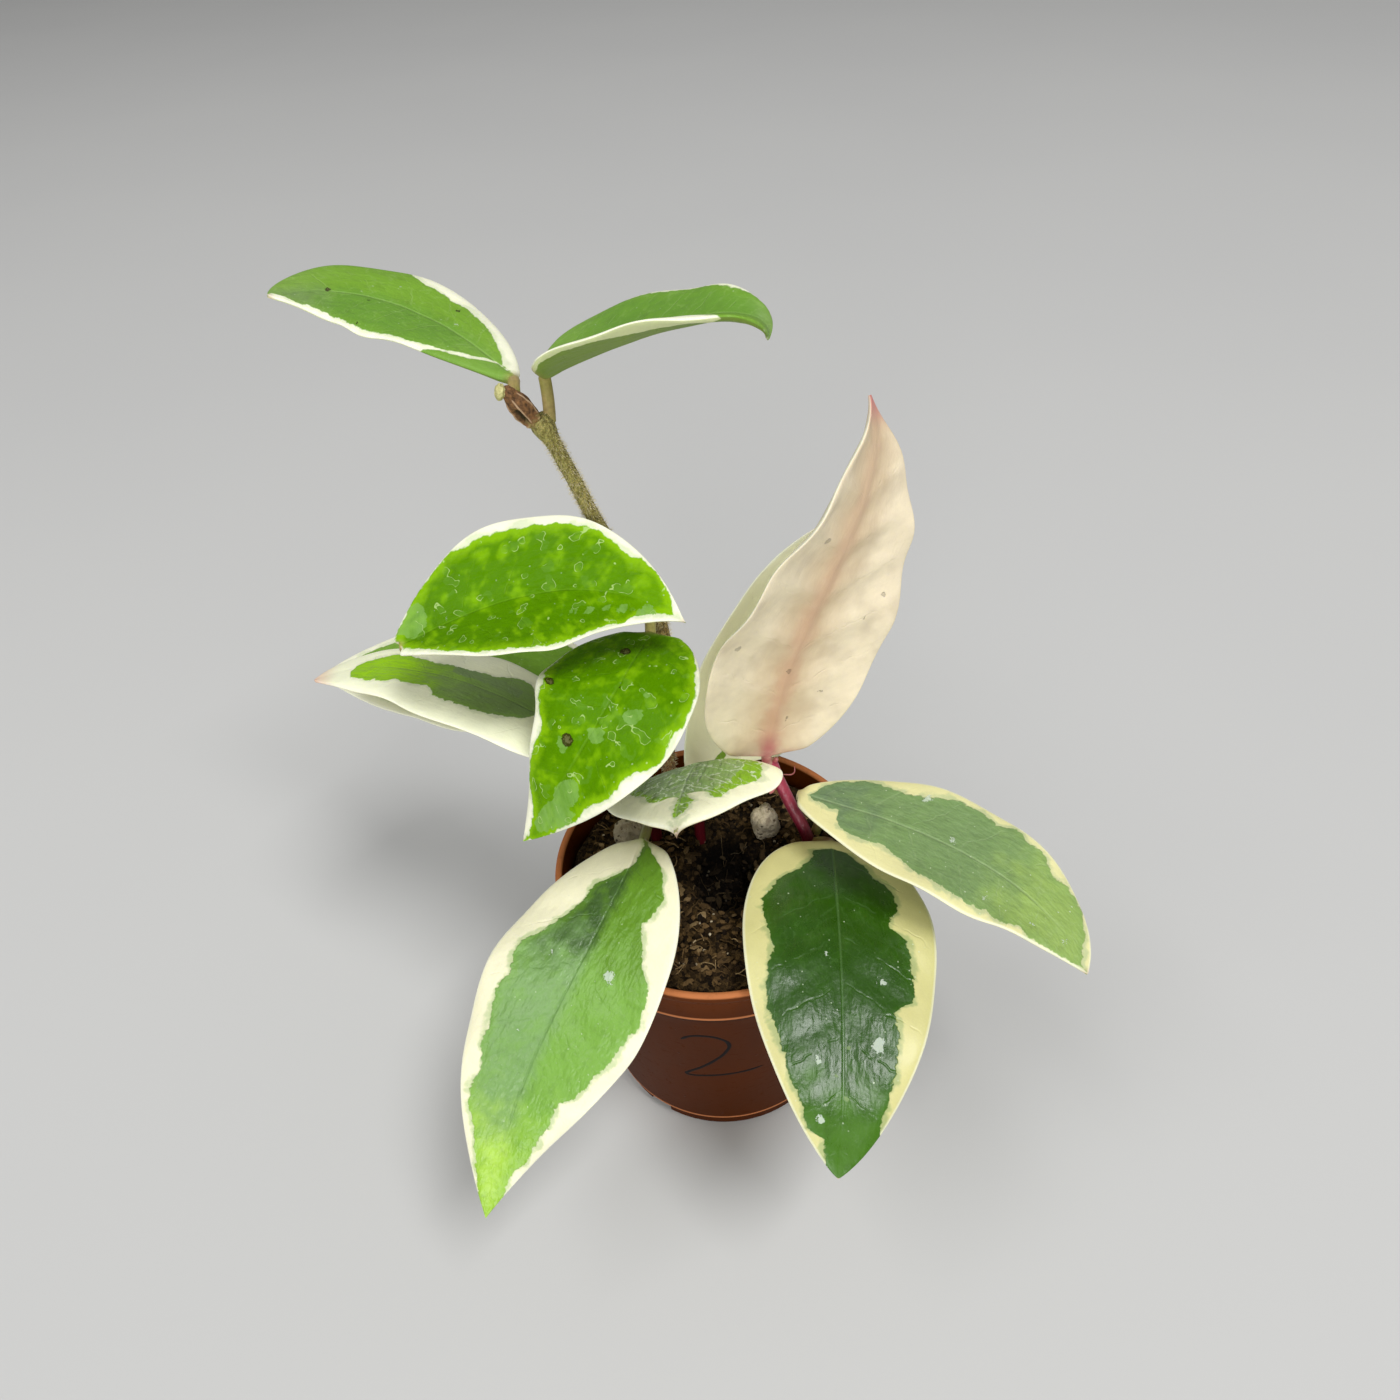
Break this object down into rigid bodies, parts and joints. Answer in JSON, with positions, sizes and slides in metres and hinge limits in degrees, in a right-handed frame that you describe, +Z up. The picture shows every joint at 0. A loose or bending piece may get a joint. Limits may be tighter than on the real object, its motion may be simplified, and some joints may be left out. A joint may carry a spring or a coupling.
{
  "type": "potted hoya plant",
  "caption": "Small trailing hoya with cream-edged waxy leaves on short stems, rooted in peat in a tapered plastic nursery pot.",
  "frame": {"origin": "centre of the pot's flat underside", "axes": "+Z up along the pot's axis, the plant's front looks along -Y, +X to the viewer's right"},
  "size_m": [0.1343, 0.112, 0.1552],
  "materials": {
    "pot_plastic": "thin terracotta-brown plastic, satin",
    "peat": "dark fibrous peat with crumbs of bark",
    "pumice": "rough grey-beige pumice with open pores",
    "stem_olive": "finely hairy olive-brown bark",
    "stem_dark_red": "dark red young stem, slightly waxy",
    "stem_crimson": "crimson young stem, slightly waxy",
    "leaf_green": "waxy mid green leaf with a cream margin",
    "leaf_bright_green": "waxy bright green leaf with a cream margin",
    "leaf_dark_green": "waxy dark green leaf with a cream-yellow margin",
    "leaf_cream": "waxy leaf, mostly cream with green patches",
    "leaf_pink_cream": "cream leaf with a pink flush, seen from its underside"
  },
  "bodies": {
    "root": {"pot": "pot_plastic", "soil": "peat", "pumice_left": "pumice", "pumice_right": "pumice", "stem_tall": "stem_olive", "stem_left": "stem_dark_red", "stem_small": "stem_dark_red", "stem_red": "stem_crimson", "leaf_top_left": "leaf_green", "leaf_top_right": "leaf_green", "leaf_middle_left": "leaf_bright_green", "leaf_middle_front": "leaf_bright_green", "leaf_low_left_upper": "leaf_cream", "leaf_low_left_under": "leaf_green", "leaf_upright_front": "leaf_pink_cream", "leaf_upright_back": "leaf_cream", "leaf_small_centre": "leaf_cream", "leaf_front_left": "leaf_green", "leaf_right": "leaf_dark_green", "leaf_front_right": "leaf_dark_green"}
  },
  "joints": []
}
